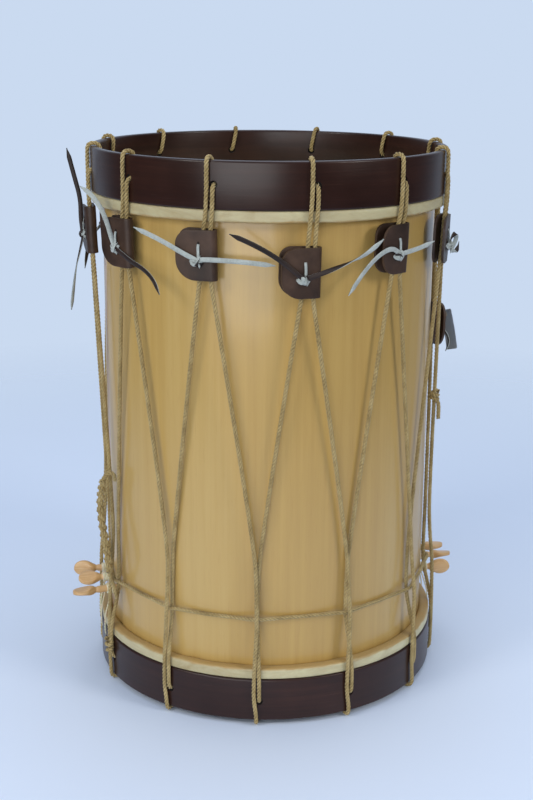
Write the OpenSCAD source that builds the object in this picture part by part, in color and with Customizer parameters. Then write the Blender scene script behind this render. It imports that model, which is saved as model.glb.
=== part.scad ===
// Tall rope-tension bass drum: ply shell, two natural skin heads, dark wooden
// counterhoops, one long rope with leather tuning tugs, gut snares and friction pegs.
// The Z axis is the drum's axis and the floor is at z = 0. Angles run from the front (-Y)
// towards +X.

/* [Drum body] */
// Outer radius of the two counterhoops
hoop_r = 200; // [190:1:210]
// Height of each counterhoop
hoop_h = 49; // [45:1:55]
// Thickness of each counterhoop
hoop_t = 8; // [7:0.5:9]
// Height from the bottom hoop's lower edge to the top hoop's upper edge
drum_h = 608; // [580:1:640]
// Outer radius of the shell
shell_r = 187; // [184:0.5:188]
// Wall thickness of the shell
shell_t = 5.5; // [4:0.5:7]
// Height of each flesh hoop, with its skin
flesh_h = 12.5; // [11:0.5:15]
// Thickness of the skins
skin_t = 1.2; // [0.8:0.1:1.5]

/* [Rope] */
// Diameter of the rope
rope_d = 5.5; // [5:0.1:5.6]
// Height of the waist rope above the bottom hoop's lower edge
waist_z = 118; // [116:1:124]

/* [Tugs] */
// Width of a folded tug, from its fold to the ends of its flaps
tug_w = 42.4; // [38:0.2:46]
// Height of a tug
tug_h = 51.5; // [48:0.5:52]
// Thickness of the leather
tug_t = 2.6; // [2:0.1:2.8]
// Width of the lace
lace_w = 5; // [3:0.5:6]
// Thickness of the lace
lace_t = 1.4; // [1:0.1:1.6]

/* [Snares and pegs] */
// Diameter of the gut snares
gut_d = 1.6; // [1:0.1:1.8]
// Height of the peg blocks' middle above the bottom hoop's lower edge
peg_z = 99; // [98:1:101]
// Radius that the tips of the pegs reach
peg_tip_r = 232; // [226:1:236]
// Angle between neighbouring pegs
peg_step = 7.5; // [7.2:0.1:8]

/* [Hidden] */

round_fn = 96;          // facets of a curve, where it is drawn as a mesh
eps = 0.5;              // how far a cutter runs past the face it cuts
rope_r = rope_d / 2;
rope_gap = 0.25;        // clearance between the rope and the hoops
lift = rope_d + rope_gap;            // the hoop stands on the rope's turns
rope_out = hoop_r + rope_gap + rope_r;            // rope line outside a hoop
rope_in = hoop_r - hoop_t - rope_gap - rope_r;    // rope line inside a hoop
hoop_in = hoop_r - hoop_t;

// The lacing: twelve holes in each hoop.
points = 12;
point_step = 360 / points;
top_phi = 12.9;         // middle of the first top lacing point
foot_phi = -2.9;        // middle of the first bottom lacing point
hole_phi = 0.86;        // the hole is this far to the right of the middle
hole_r = 4.2;
top_hole_z = drum_h - 24;
foot_hole_z = 23;

// Skins, flesh hoops and bearing edges, above the bottom hoop's lower edge.
flesh_out = hoop_r - 1;              // outside of the skin around a flesh hoop
collar_r = shell_r + skin_t;         // the skin where it comes down the shell
edge_rise = 4.5;                     // bearing edge beyond the counterhoop's edge
shell_low = hoop_h - edge_rise;
shell_high = drum_h - hoop_h + edge_rise;
ring_h = 32;                         // reinforcing rings inside the shell
ring_t = 6;
vent_r = 6;
vent_phi = 165;

// Tugs: height of each one's middle, above the bottom hoop's lower edge.
tug_z = [498, 516, 513, 397, 511, 514, 509, 515, 512, 517, 517, 514];
tug_gap = 0.6;                       // play of the rope between the flaps
tug_in = rope_r + tug_gap;           // half of the space between the flaps
tug_out = tug_in + tug_t;
fold_t = 1.45;                       // middle of the fold, right of the right strand
tug_left = fold_t + tug_out - tug_w; // ends of the flaps
tug_tilt = 2.35;                     // the strands lean inwards going down
knot_t = -10.4;                      // the lace's knot on the outer flap
knot_z = -5;
lace_off = 0.6;                      // lace clear of the flap's outer face
knot_size = 5.2;
knot_n = tug_out + lace_off + knot_size / 2;
slit_rise = 15;                      // from the lower slit to the upper one
tag_w = 30;
tag_h = 48;
tag_t = 1;
tag_at = [25.5, 0, -10.5];           // its middle, from its tug's middle
tag_turn = -85;                      // nearly edge-on to the drum's front
tag_lean = 7.5;
tag_roll = -16.5;

// Lace ends, each from the knot to its tip: [outwards, to the right, up] from the tug's middle.
lace_left = [
    [[9, -14, -4], [14, -39, 17], [18, -65, 33], [20, -91, 45]],
    [[9, -14, -2], [10.4, -27, 4], [9.5, -45, -2], [6, -62, -18], [4, -80, -40]],
    [[9, -12, -3], [11.5, -15, 4], [14, -12, 8], [15, -5, 5], [13.5, -1, -3], [11.5, -5, -10],
        [11, -14, -14]],
    [[10, -13, -5], [13, -16, -8], [17, -18, -13], [19, -20, -20], [17, -22, -27], [15, -22, -32]],
    [[9, -14, -2], [11, -32, 12], [14, -56, 22], [16, -80, 22]],
    [[9, -14, -4], [12, -34, -12], [15, -54, -24], [17, -70, -42]],
    [[9, -14, -3], [11, -36, 10], [14, -60, 24], [16, -82, 30]],
    [[9, -14, -2], [12, -32, 2], [15, -54, -6], [18, -74, -22]],
    [[9, -14, -4], [11, -34, 14], [13, -58, 26], [15, -84, 34]],
    [[9, -11, 0], [10, -9, 12], [9, -8, 34], [14, -9, 58], [20, -10, 89]],
    [[9, -14, 2], [11, -24, 32], [15, -40, 50], [18, -54, 56]],
    [[9, -14, -3], [11, -26, 3], [12, -48, 15], [14, -76, 27]]];
lace_right = [
    [[9, -7, -4], [11, 12, 3], [14, 31, 11], [19, 48, 20], [22, 65, 36]],
    [[9, -6, -4], [11, 6, -2], [14, 18, 1], [17, 32, 6]],
    [[9, -8, -7], [11.5, -4, -13], [13.5, 4, -16], [15, 12, -12], [14.5, 19, -6]],
    [[9, -8, -3], [12, -4, 6], [15.5, 2, 13], [19, 5, 14], [21, 5, 8]],
    [[9, -7, -5], [11, 14, -8], [14, 36, -4], [17, 58, 8]],
    [[9, -7, -4], [10, 12, 5], [13, 32, 16], [16, 52, 30]],
    [[9, -7, -5], [11, 12, -12], [14, 30, -26], [16, 42, -46]],
    [[9, -7, -4], [10, 14, 2], [13, 36, 6], [15, 60, 4]],
    [[9, -7, -5], [11, 12, -14], [14, 26, -30], [16, 32, -52]],
    [[9, -9, -8], [13, -8, -22], [20, -7, -44], [28, -6, -90]],
    [[9, -6, -7], [11, 20, -16], [13, 42, -20], [15, 60, -28], [16, 70, -42]],
    [[9, -7, -3], [8, 12, -3], [5, 36, -4], [0, 68, -7]]];

// Pegs and their holes, along the peg's own line out from the drum's axis.
peg_mid_left = -78;
peg_mid_right = 102;
peg_inner_r = 163;                   // where the thin end of a peg stops
peg_shoulder_r = 203;                // where the taper ends, outside the shell
peg_small = 3.4;
peg_large = 4.3;
peg_play = 0.05;                     // radial clearance of a peg in its bore
bulb_r = 5.4;
bulb_at = 207.5;
block_w = 66;
block_h = 28;
block_inner_r = 166;
paddle_w = 19;
paddle_t = 6.6;
paddle_len = 25;
paddle_turn = [[90, 55, 0], [0, 80, 90]];    // how far each peg is turned, left and right
peg_rise = [[-1.5, 2.5, 3.5], [-5.5, -1, -1.5]];    // how far above peg_z its hole is
peg_push = [[6, -5, 0], [-4.5, 4.4, 7]];     // how much further out it stands
wind_turns = 4;
wind_pitch = 1.7;
wind_at = 191;
snare_hole_z = 36;
snare_hole_r = 2.3;
snare_side_r = hoop_r + 1.4;

function on_drum(phi, r, z) = [r * sin(phi), -r * cos(phi), z + lift];
function lerp(a, b, f) = a + (b - a) * f;
function unit(v) = v / norm(v);

// A closed solid through rings of equally many points.
module skin_over(rings) {
    n = len(rings);
    m = len(rings[0]);
    faces = concat(
        [[for (i = [0 : m - 1]) i]],
        [for (k = [0 : n - 2], i = [0 : m - 1])
            let (a = k * m + i, b = k * m + (i + 1) % m)
            each [[a, a + m, b], [b, a + m, b + m]]],
        [[for (i = [m - 1 : -1 : 0]) (n - 1) * m + i]]);
    polyhedron([for (ring = rings) each ring], faces);
}

function tangent(path, i) =
    let (n = len(path))
    unit(path[min(i + 1, n - 1)] - path[max(i - 1, 0)]);

// A tube of round section along a path; up is a direction that the path never follows, and
// r is its radius, or a list with the radius at each point.
module tube(path, r, up, sides = 8) {
    skin_over([for (i = [0 : len(path) - 1])
        let (d = tangent(path, i), a = unit(cross(d, up)), b = cross(d, a),
            here = is_list(r) ? r[i] : r)
        [for (s = [0 : sides - 1]) let (w = 360 * s / sides)
            path[i] + here * (cos(w) * a + sin(w) * b)]]);
}

// A flat strap along a path, its faces turned towards face.
module strap(path, w, t, face) {
    skin_over([for (i = [0 : len(path) - 1])
        let (d = tangent(path, i), a = unit(cross(d, face)), b = cross(d, a),
            narrow = (i == len(path) - 1) ? 0.25 : 1)
        [for (c = [[-1, -1], [1, -1], [1, 1], [-1, 1]])
            path[i] + c[0] * a * w * narrow / 2 + c[1] * b * t / 2]]);
}

module ring_shape(outer, inner, low, high, edge) {
    translate([0, 0, lift]) rotate_extrude($fn = round_fn)
        polygon([[inner + edge, low], [outer - edge, low], [outer, low + edge],
            [outer, high - edge], [outer - edge, high], [inner + edge, high],
            [inner, high - edge], [inner, low + edge]]);
}

// A radial bore through a hoop or the shell.
module radial_bore(phi, z, r, from, to) {
    translate([0, 0, z + lift]) rotate([0, 0, phi - 90]) translate([from, 0, 0])
        rotate([0, 90, 0]) cylinder(r = r, h = to - from, $fn = 32);
}

// ---- wooden shell and its inner parts ----

module shell() {
    color([0.80, 0.64, 0.38]) difference() {
        ring_shape(shell_r, shell_r - shell_t, shell_low, shell_high, 1);
        peg_bores();
        radial_bore(vent_phi, drum_h / 2, vent_r, shell_r - shell_t - 5, shell_r + 5);
    }
}

module reinforcing_ring(low) {
    color([0.82, 0.68, 0.45])
        ring_shape(shell_r - shell_t, shell_r - shell_t - ring_t, low, low + ring_h, 1);
}

module upper_reinforcing_ring() { reinforcing_ring(shell_high - ring_h - 3); }
module lower_reinforcing_ring() { reinforcing_ring(shell_low + 3); }

module peg_block(phi) {
    color([0.72, 0.55, 0.33]) difference() {
        intersection() {
            translate([0, 0, peg_z + lift]) rotate([0, 0, phi - 90])
                translate([(block_inner_r + shell_r) / 2, 0, 0])
                cube([shell_r - block_inner_r, block_w, block_h], center = true);
            translate([0, 0, peg_z + lift])
                cylinder(r = shell_r - shell_t, h = block_h + 2, center = true, $fn = round_fn);
        }
        peg_bores();
    }
}

module left_peg_block() { peg_block(peg_mid_left); }
module right_peg_block() { peg_block(peg_mid_right); }

// ---- heads ----

// Section of a skin: over the bearing edge, down the shell and around the flesh hoop.
// s is the bearing edge's height and d the side that the head faces, 1 up or -1 down.
module skin_section(s, d) {
    face = s + d * skin_t;
    near = s - d * edge_rise;
    far = near - d * flesh_h;
    difference() {
        polygon([[0, s], [0, face], [collar_r - 1, face], [collar_r, face - d],
            [collar_r, near], [flesh_out, near], [flesh_out, far], [shell_r, far], [shell_r, s]]);
        flesh_section(near, far, d);
    }
}

module flesh_section(near, far, d) {
    polygon([[collar_r, near - d * skin_t], [flesh_out - skin_t, near - d * skin_t],
        [flesh_out - skin_t, far + d * skin_t], [collar_r, far + d * skin_t]]);
}

module head_skin(s, d) {
    color([0.90, 0.87, 0.74]) translate([0, 0, lift])
        rotate_extrude($fn = round_fn) skin_section(s, d);
}

module flesh_hoop(near, d) {
    color([0.78, 0.66, 0.45]) translate([0, 0, lift])
        rotate_extrude($fn = round_fn) flesh_section(near, near - d * flesh_h, d);
}

module batter_head_skin() { head_skin(shell_high, 1); }
module resonant_head_skin() { head_skin(shell_low, -1); }
module batter_flesh_hoop() { flesh_hoop(drum_h - hoop_h, 1); }
module resonant_flesh_hoop() { flesh_hoop(hoop_h, -1); }

// ---- counterhoops ----

module top_hoop() {
    color([0.20, 0.11, 0.10]) difference() {
        ring_shape(hoop_r, hoop_in, drum_h - hoop_h, drum_h, 1.6);
        for (k = [0 : points - 1])
            radial_bore(top_phi + k * point_step + hole_phi, top_hole_z, hole_r, hoop_in - 5, hoop_r + 5);
    }
}

module bottom_hoop() {
    color([0.20, 0.11, 0.10]) difference() {
        ring_shape(hoop_r, hoop_in, 0, hoop_h, 1.6);
        for (k = [0 : points - 1])
            radial_bore(foot_phi + k * point_step + hole_phi, foot_hole_z, hole_r, hoop_in - 5, hoop_r + 5);
        for (mid = [peg_mid_left, peg_mid_right], i = [-1 : 1])
            radial_bore(mid + i * peg_step, snare_hole_z, snare_hole_r, hoop_in - 5, hoop_r + 5);
    }
}

// ---- rope ----

// Radius of the strands' line at the middle of a tug.
function tug_r(k) = 200.8 - 0.02 * (515 - tug_z[k]);
function at_tug(k, t, dz) =
    let (r = tug_r(k) + dz * tan(tug_tilt), phi = top_phi + k * point_step + atan(t / r))
    on_drum(phi, sqrt(r * r + t * t), tug_z[k] + dz);

// One run of rope: out of a bottom hole, up to a tug, over the top hoop, out of its hole,
// down through the tug and to the next bottom lacing point.
function rope_run(k) =
    let (top = top_phi + k * point_step, foot = foot_phi + k * point_step,
        next = foot + point_step, rim = drum_h + rope_gap + rope_r,
        half_tug = tug_h / 2)
    [on_drum(foot, rope_in, 15), on_drum(foot, rope_in, 16.5), on_drum(foot + 0.7, rope_in, foot_hole_z - 3.5),
    on_drum(foot + 0.86, rope_in + 2.2, foot_hole_z), on_drum(foot + 0.86, hoop_r + 0.8, foot_hole_z),
    on_drum(foot + 0.86, rope_out, foot_hole_z + 4), on_drum(foot + 0.86, rope_out, 47),
    on_drum(foot + 0.8, rope_out - 0.4, 63), on_drum(foot + 0.5, 194, 100),
    on_drum(foot, 190.3, waist_z), on_drum(foot + 0.5, 190.4, 140), on_drum(foot + 0.9, 191.2, 192),
    at_tug(k, -12.8, -half_tug - 2), at_tug(k, -8.2, -half_tug + 14), at_tug(k, -7.2, 4),
    at_tug(k, -7, half_tug), on_drum(top - 1.4, 202.6, 548), on_drum(top - 0.9, rope_out, 570),
    on_drum(top - 0.86, rope_out, rim - 5), on_drum(top - 0.86, rope_out - 0.7, rim - 1.7),
    on_drum(top - 0.86, rope_out - 2.6, rim), on_drum(top - 0.8, rope_in + 2.6, rim),
    on_drum(top - 0.7, rope_in + 0.7, rim - 1.7), on_drum(top - 0.5, rope_in, rim - 5),
    on_drum(top + 0.7, rope_in, top_hole_z + 3.5), on_drum(top + 0.86, rope_in + 2.2, top_hole_z),
    on_drum(top + 0.86, hoop_r + 0.8, top_hole_z), on_drum(top + 0.86, rope_out, top_hole_z - 4),
    on_drum(top + 0.8, rope_out, 562), on_drum(top + 0.5, 202.6, 548),
    at_tug(k, 0.4, half_tug), at_tug(k, 0, 4), at_tug(k, 0, -half_tug + 6),
    at_tug(k, 0.4, -half_tug - 2), at_tug(k, 0.9, -half_tug - 9), at_tug(k, 2.2, -half_tug - 15),
    on_drum(next - 0.9, 191.6, 192), on_drum(next - 0.5, 199.6, 140), on_drum(next, 201.6, waist_z),
    on_drum(next - 0.3, 201.6, 104), on_drum(next - 0.8, rope_out - 0.4, 66),
    on_drum(next - 0.86, rope_out, 47), on_drum(next - 0.8, rope_out, 26),
    on_drum(next, rope_out, 10), on_drum(next, rope_out, 8)];

module rope_tube(k) {
    mid = top_phi + k * point_step;
    tube(rope_run(k), rope_r, [cos(mid), sin(mid), 0], 6);
}

module tension_rope() {
    color([0.66, 0.55, 0.33]) for (k = [0 : points - 1]) rope_tube(k);
}

// Where the rope passes under the bottom hoop: a flattened turn that the drum stands on.
module rope_bottom_turns() {
    color([0.62, 0.51, 0.30]) for (k = [0 : points - 1])
        rotate([0, 0, foot_phi + k * point_step - 90]) rotate([90, 0, 0])
            linear_extrude(height = rope_d, center = true)
            polygon([[rope_in - rope_r, 3], [rope_in - rope_r + 3, 0], [rope_out + rope_r - 3, 0],
                [rope_out + rope_r, 3], [rope_out + rope_r, lift + 8], [rope_out - rope_r, lift + 8],
                [rope_out - rope_r, rope_d], [rope_in + rope_r, rope_d],
                [rope_in + rope_r, lift + 15], [rope_in - rope_r, lift + 15]]);
}

// The waist rope runs straight from pair to pair, so it comes close to the shell between them.
waist_out = 196;
waist_near = shell_r + rope_r + 0.4;
function waist_r(phi) =
    let (from_mid = abs((phi - foot_phi + 720) % point_step - point_step / 2))
    max(waist_near, waist_out * cos(point_step / 2) / cos(from_mid));

module waist_rope() {
    steps = 72;
    ring = function (i) let (phi = foot_phi + 360 * i / steps, r = waist_r(phi))
        [for (s = [0 : 7]) on_drum(phi, r + rope_r * cos(45 * s), waist_z + rope_r * sin(45 * s))];
    rings = [for (i = [0 : steps - 1]) ring(i)];
    faces = [for (k = [0 : steps - 1], i = [0 : 7])
        let (a = k * 8 + i, b = k * 8 + (i + 1) % 8,
            c = ((k + 1) % steps) * 8 + i, d = ((k + 1) % steps) * 8 + (i + 1) % 8)
        each [[a, b, c], [b, d, c]]];
    color([0.66, 0.55, 0.33]) polyhedron([for (r = rings) each r], faces);
}

// The spare end of the rope, worked into a chain of lumps down one pair.
chain_route = [[-61.8, 208.5, 243], [-65.4, 208.5, 214], [-63.8, 208.5, 188],
    [-60.4, 208.5, 163], [-58.6, 208.5, 136]];
chain_lumps = 8;
chain_steps = 40;
module surplus_rope_chain() {
    at = function (f) let (x = f * (len(chain_route) - 1), i = min(floor(x), len(chain_route) - 2),
        p = lerp(chain_route[i], chain_route[i + 1], x - i)) on_drum(p[0], p[1], p[2]);
    path = [for (i = [0 : chain_steps]) at(i / chain_steps)];
    radii = [for (i = [0 : chain_steps]) 3.4 + 1.8 * abs(sin(180 * chain_lumps * i / chain_steps))];
    color([0.64, 0.53, 0.32]) tube(path, radii, [0, -1, 0]);
}

// A stopper knot that joins two lengths of rope, with its short tail.
knot_phi = 80.2;
knot_low = 319;
knot_lump = [3, 5.2, 6.2, 5.4];      // radius of the lump, from the top down
module rope_knot() {
    lump = [for (i = [0 : 3]) on_drum(knot_phi, 196.5 + i * 0.6, knot_low + 14 - i * 4)];
    tail = [on_drum(knot_phi, 200.4, knot_low - 2), on_drum(knot_phi + 0.3, 201, knot_low - 10),
        on_drum(knot_phi + 0.6, 201, knot_low - 22)];
    color([0.66, 0.55, 0.33])
        tube(concat(lump, tail), concat(knot_lump, [rope_r, rope_r, rope_r]), [0, -1, 0]);
}

// ---- tugs and laces ----

module on_tug(k) {
    translate(at_tug(k, 0, 0)) rotate([0, 0, top_phi + k * point_step - 90])
        rotate([0, tug_tilt, 0]) children();
}

// The flap's outline, seen from outside: square at the fold, rounded at the free end.
low_round = 21;
high_round = 15;
function corner(y, z, r, from) =
    [for (a = [0 : 15 : 90]) [y + r * cos(from + a), z + r * sin(from + a)]];
flap_outline = concat(
    corner(tug_left + low_round, -tug_h / 2 + low_round, low_round, 180),
    corner(fold_t + tug_out - 2, -tug_h / 2 + 2, 2, 270),
    corner(fold_t + tug_out - 2, tug_h / 2 - 2, 2, 0),
    corner(tug_left + high_round, tug_h / 2 - high_round, high_round, 90));

// The folded strap in plan: two flaps joined by a round fold on the right.
fold_arc = [for (a = [90 : -15 : -90]) [sin(a), cos(a)]];
flap_splay = 1.2;
module strap_plan() {
    polygon(concat(
        [[tug_out + flap_splay, tug_left]],
        [for (p = fold_arc) [tug_out * p[0], fold_t + tug_out * p[1]]],
        [[-tug_out, tug_left], [-tug_in, tug_left]],
        [for (i = [len(fold_arc) - 1 : -1 : 0])
            [tug_in * fold_arc[i][0], fold_t + tug_in * fold_arc[i][1]]],
        [[tug_in + flap_splay, tug_left]]));
}

module tug(k) {
    color([0.27, 0.17, 0.13]) on_tug(k) intersection() {
        linear_extrude(height = tug_h + 2, center = true) strap_plan();
        rotate([90, 0, 90]) linear_extrude(height = 40, center = true) polygon(flap_outline);
    }
}

// A lace: the stitch between the two slits, the knot, and two free ends.
module lace(k) {
    color([0.35, 0.27, 0.25]) on_tug(k) {
        translate([tug_out + lace_off, knot_t - lace_w / 4, knot_z])
            cube([lace_t, lace_w / 2, slit_rise]);
        translate([knot_n, knot_t, knot_z]) cube(knot_size, center = true);
        for (route = [lace_left[k], lace_right[k]])
            strap(concat([[knot_n, knot_t, knot_z]], route), lace_w, lace_t, [1, 0.001, 0.002]);
    }
}

module hang_tag() {
    color([0.55, 0.56, 0.60]) on_tug(3) {
        translate(tag_at) rotate([0, 0, tag_turn]) rotate([tag_lean, 0, 0])
            rotate([0, tag_roll, 0]) cube([tag_w, tag_t, tag_h], center = true);
    }
}

// ---- snares and friction pegs ----

// Peg i of a group: 1 is nearest the front on the left, and each stands opposite its partner.
function peg_phi(side, i) = side == 0 ? peg_mid_left - (i - 2) * peg_step
    : peg_mid_right + (i - 2) * peg_step;

module on_peg(side, i) {
    translate([0, 0, peg_z + peg_rise[side][i - 1] + lift]) rotate([0, 0, peg_phi(side, i) - 90])
        rotate([0, 90, 0]) translate([0, 0, peg_push[side][i - 1]]) children();
}

// The taper and its bore share one cone.
module peg_taper(extra, from, to) {
    slope = (peg_large - peg_small) / (peg_shoulder_r - peg_inner_r);
    translate([0, 0, from]) cylinder(r1 = peg_small + slope * (from - peg_inner_r) + extra,
        r2 = peg_small + slope * (to - peg_inner_r) + extra, h = to - from, $fn = 48);
}

module peg_bores() {
    for (side = [0, 1], i = [1 : 3])
        let (push = peg_push[side][i - 1])
            on_peg(side, i) peg_taper(peg_play, block_inner_r - 5 - push, shell_r + 3 - push);
}

paddle_outline = [for (a = [0 : 12 : 348])
    let (x = paddle_len / 2 * cos(a), taper = 0.5 + 0.5 * cos(a / 2) * cos(a / 2))
    [(1.25 - taper * 0.25) * paddle_w / 2 * sin(a) * (0.86 + 0.14 * cos(a)), x]];

module peg(side, i) {
    color([0.80, 0.58, 0.34]) on_peg(side, i) {
        peg_taper(0, peg_inner_r, peg_shoulder_r);
        translate([0, 0, bulb_at]) sphere(r = bulb_r, $fn = 32);
        translate([0, 0, peg_tip_r - paddle_len / 2]) rotate([0, 0, paddle_turn[side][i - 1]])
            rotate([90, 0, 0]) linear_extrude(height = paddle_t, center = true)
            polygon(paddle_outline);
    }
}

module peg_winding(side, i) {
    slope = (peg_large - peg_small) / (peg_shoulder_r - peg_inner_r);
    from = wind_at - peg_push[side][i - 1];
    around = peg_small + slope * (from + wind_turns * wind_pitch - peg_inner_r) + 0.02;
    color([0.86, 0.83, 0.72]) on_peg(side, i) translate([0, 0, from]) {
        rotate_extrude($fn = 48) union() {
            for (t = [0 : wind_turns - 1])
                translate([around + gut_d * 0.6, t * wind_pitch]) circle(r = gut_d * 0.6, $fn = 24);
        }
    }
}

// A snare leaves one peg, goes down over the flesh hoop, in through the bottom hoop, and
// straight across under the head to its partner.
function snare_side(side, i, across) =
    let (r = snare_side_r, phi = peg_phi(side, i), high = peg_z + peg_rise[side][i - 1])
    [on_drum(phi, 192.5, high - 6.4), on_drum(phi, 195.6, high - 15),
    on_drum(phi, 200.2, hoop_h + flesh_h + 4),
    on_drum(phi, r - 0.2, hoop_h + flesh_h - 2), on_drum(phi, r, hoop_h - 4), on_drum(phi, r - 0.4, snare_hole_z + 2),
    on_drum(phi, hoop_r - 2, snare_hole_z), on_drum(phi, hoop_in - 2, snare_hole_z),
    on_drum(phi, hoop_in - 14, shell_low - skin_t - 1), across];

module gut_snare(i) {
    left = peg_phi(0, i);
    right = peg_phi(1, i);
    under = shell_low - skin_t - gut_d / 2 - 0.1;
    mid = (on_drum(left, 150, under) + on_drum(right, 150, under)) / 2;
    one = snare_side(0, i, on_drum(left, 150, under));
    two = snare_side(1, i, on_drum(right, 150, under));
    path = concat(one, [mid], [for (n = [len(two) - 1 : -1 : 0]) two[n]]);
    side_way = [cos(peg_mid_left), sin(peg_mid_left), 0];
    color([0.88, 0.85, 0.74]) tube(path, gut_d / 2, side_way, 6);
}

shell();
upper_reinforcing_ring();
lower_reinforcing_ring();
left_peg_block();
right_peg_block();
batter_head_skin();
resonant_head_skin();
batter_flesh_hoop();
resonant_flesh_hoop();
top_hoop();
bottom_hoop();
tension_rope();
rope_bottom_turns();
waist_rope();
surplus_rope_chain();
rope_knot();
hang_tag();
for (k = [0 : points - 1]) {
    number = str(k < 9 ? "0" : "", k + 1);
    tug(k);
    lace(k);
}
for (i = [1 : 3]) {
    peg(0, i);
    peg(1, i);
    peg_winding(0, i);
    peg_winding(1, i);
    gut_snare(i);
}
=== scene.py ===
"""Looks of the rope-tension bass drum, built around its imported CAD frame."""
import math

import bmesh
import bpy
import numpy as np
from mathutils import Matrix, Vector, noise


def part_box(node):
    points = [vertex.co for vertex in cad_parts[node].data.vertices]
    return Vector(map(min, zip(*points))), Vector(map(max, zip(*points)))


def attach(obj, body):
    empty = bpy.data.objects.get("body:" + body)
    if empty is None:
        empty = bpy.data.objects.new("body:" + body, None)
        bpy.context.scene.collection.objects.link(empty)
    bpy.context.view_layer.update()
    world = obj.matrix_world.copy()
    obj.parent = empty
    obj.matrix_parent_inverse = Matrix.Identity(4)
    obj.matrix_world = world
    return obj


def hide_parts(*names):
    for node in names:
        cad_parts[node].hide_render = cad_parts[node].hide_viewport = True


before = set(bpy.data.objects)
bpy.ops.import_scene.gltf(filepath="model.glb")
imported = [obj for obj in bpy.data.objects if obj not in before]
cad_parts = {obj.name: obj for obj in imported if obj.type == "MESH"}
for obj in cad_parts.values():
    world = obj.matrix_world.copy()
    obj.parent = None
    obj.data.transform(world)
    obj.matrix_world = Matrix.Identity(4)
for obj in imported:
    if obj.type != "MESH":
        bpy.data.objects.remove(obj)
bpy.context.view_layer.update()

# ---------------------------------------------------------------- dimensions, in millimetres
MM = 0.001


def cad_mm(node):
    """Lowest and highest corner of a CAD node, in millimetres."""
    low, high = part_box(node)
    return np.array(low) / MM, np.array(high) / MM


top_high = cad_mm("top_hoop")[1]
foot_low, foot_high = cad_mm("bottom_hoop")
shell_low, shell_high = cad_mm("shell")
skin_high = cad_mm("batter_head_skin")[1]
LIFT = foot_low[2]                       # the hoop stands on the rope's turns
HOOP_R = top_high[0]
HOOP_T = 8.0
HOOP_H = foot_high[2] - foot_low[2]
DRUM_H = top_high[2] - LIFT
HOOP_IN = HOOP_R - HOOP_T
SHELL_R = shell_high[0]
SHELL_T = 5.5
SHELL_LOW = shell_low[2] - LIFT
SHELL_HIGH = shell_high[2] - LIFT
SKIN_T = skin_high[2] - LIFT - SHELL_HIGH
FLESH_OUT = skin_high[0]
EDGE_RISE = HOOP_H - SHELL_LOW           # bearing edge beyond the counterhoop's edge
FLESH_H = 12.5
COLLAR_R = SHELL_R + SKIN_T
HOLE_R = 4.2
ROPE_R = 2.75
ROPE_DRAWN = 2.36                        # the strands' own radius under load
ROPE_GAP = 0.25
ROPE_OUT = HOOP_R + ROPE_GAP + ROPE_R
ROPE_IN = HOOP_IN - ROPE_GAP - ROPE_R
WAIST_Z = 118.0
POINTS = 12
STEP = 360.0 / POINTS
TOP_PHI = 12.9
FOOT_PHI = -2.9
HOLE_PHI = 0.86
TOP_HOLE_Z = DRUM_H - 24
FOOT_HOLE_Z = 23.0
PEG_Z = 99.0
PEG_STEP = 7.5
PEG_MID = {"left": -78.0, "right": 102.0}
PEG_RISE = {"left": [-1.5, 2.5, 3.5], "right": [-5.5, -1, -1.5]}
PEG_PUSH = {"left": [6, -5, 0], "right": [-4.5, 4.4, 7]}
SNARE_HOLE_Z = 36.0
SNARE_HOLE_R = 2.3
VENT_PHI = 165.0
VENT_R = 6.0
SEAM_PHI = PEG_MID["left"]               # the ply's outer seam runs up past the left pegs
PEG_BORE_R = 4.15
BORE_OVER = 5.0                          # how far a cutter stands out of a wall on each side
SHELL_EDGE = 1.2
HOOP_EDGE = 2.2

TUG_Z = [498, 516, 513, 397, 511, 514, 509, 515, 512, 517, 517, 514]
TUG_Z_HIGH = 515
TUG_R_HIGH = 200.8                       # radius of the strands at that height
TUG_H = 51.5
TUG_W = 42.4
TUG_T = 2.6
TUG_IN = ROPE_R + 0.6
TUG_OUT = TUG_IN + TUG_T
TUG_TILT = 2.35
FOLD_T = 1.45
TUG_LEFT = FOLD_T + TUG_OUT - TUG_W
LOW_ROUND = 21.0
HIGH_ROUND = 15.0
SPLAY = 1.2
KNOT_T = -10.4
KNOT_Z = -5.0
SLIT_RISE = 15.0
KNOT_N = TUG_OUT + 0.6 + 2.6
LACE_W = 5.0
LACE_T = 1.3
GRAIN_FACES = 4                          # how many of a lace's long faces show the grain side

# Lace ends, from the knot to the tip: [outwards, to the right, up] from the tug's middle.
LACE_LEFT = [
    [[9, -14, -4], [14, -39, 17], [18, -65, 33], [20, -91, 45]],
    [[9, -14, -2], [10.4, -27, 4], [9.5, -45, -2], [6, -62, -18], [4, -80, -40]],
    [[9, -12, -3], [11.5, -15, 4], [14, -12, 8], [15, -5, 5], [13.5, -1, -3], [11.5, -5, -10],
     [11, -14, -14]],
    [[10, -13, -5], [13, -16, -8], [17, -18, -13], [19, -20, -20], [17, -22, -27], [15, -22, -32]],
    [[9, -14, -2], [11, -32, 12], [14, -56, 22], [16, -80, 22]],
    [[9, -14, -4], [12, -34, -12], [15, -54, -24], [17, -70, -42]],
    [[9, -14, -3], [11, -36, 10], [14, -60, 24], [16, -82, 30]],
    [[9, -14, -2], [12, -32, 2], [15, -54, -6], [18, -74, -22]],
    [[9, -14, -4], [11, -34, 14], [13, -58, 26], [15, -84, 34]],
    [[9, -11, 0], [10, -9, 12], [9, -8, 34], [14, -9, 58], [20, -10, 89]],
    [[9, -14, 2], [11, -24, 32], [15, -40, 50], [18, -54, 56]],
    [[9, -14, -3], [11, -26, 3], [12, -48, 15], [14, -76, 27]]]
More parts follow.
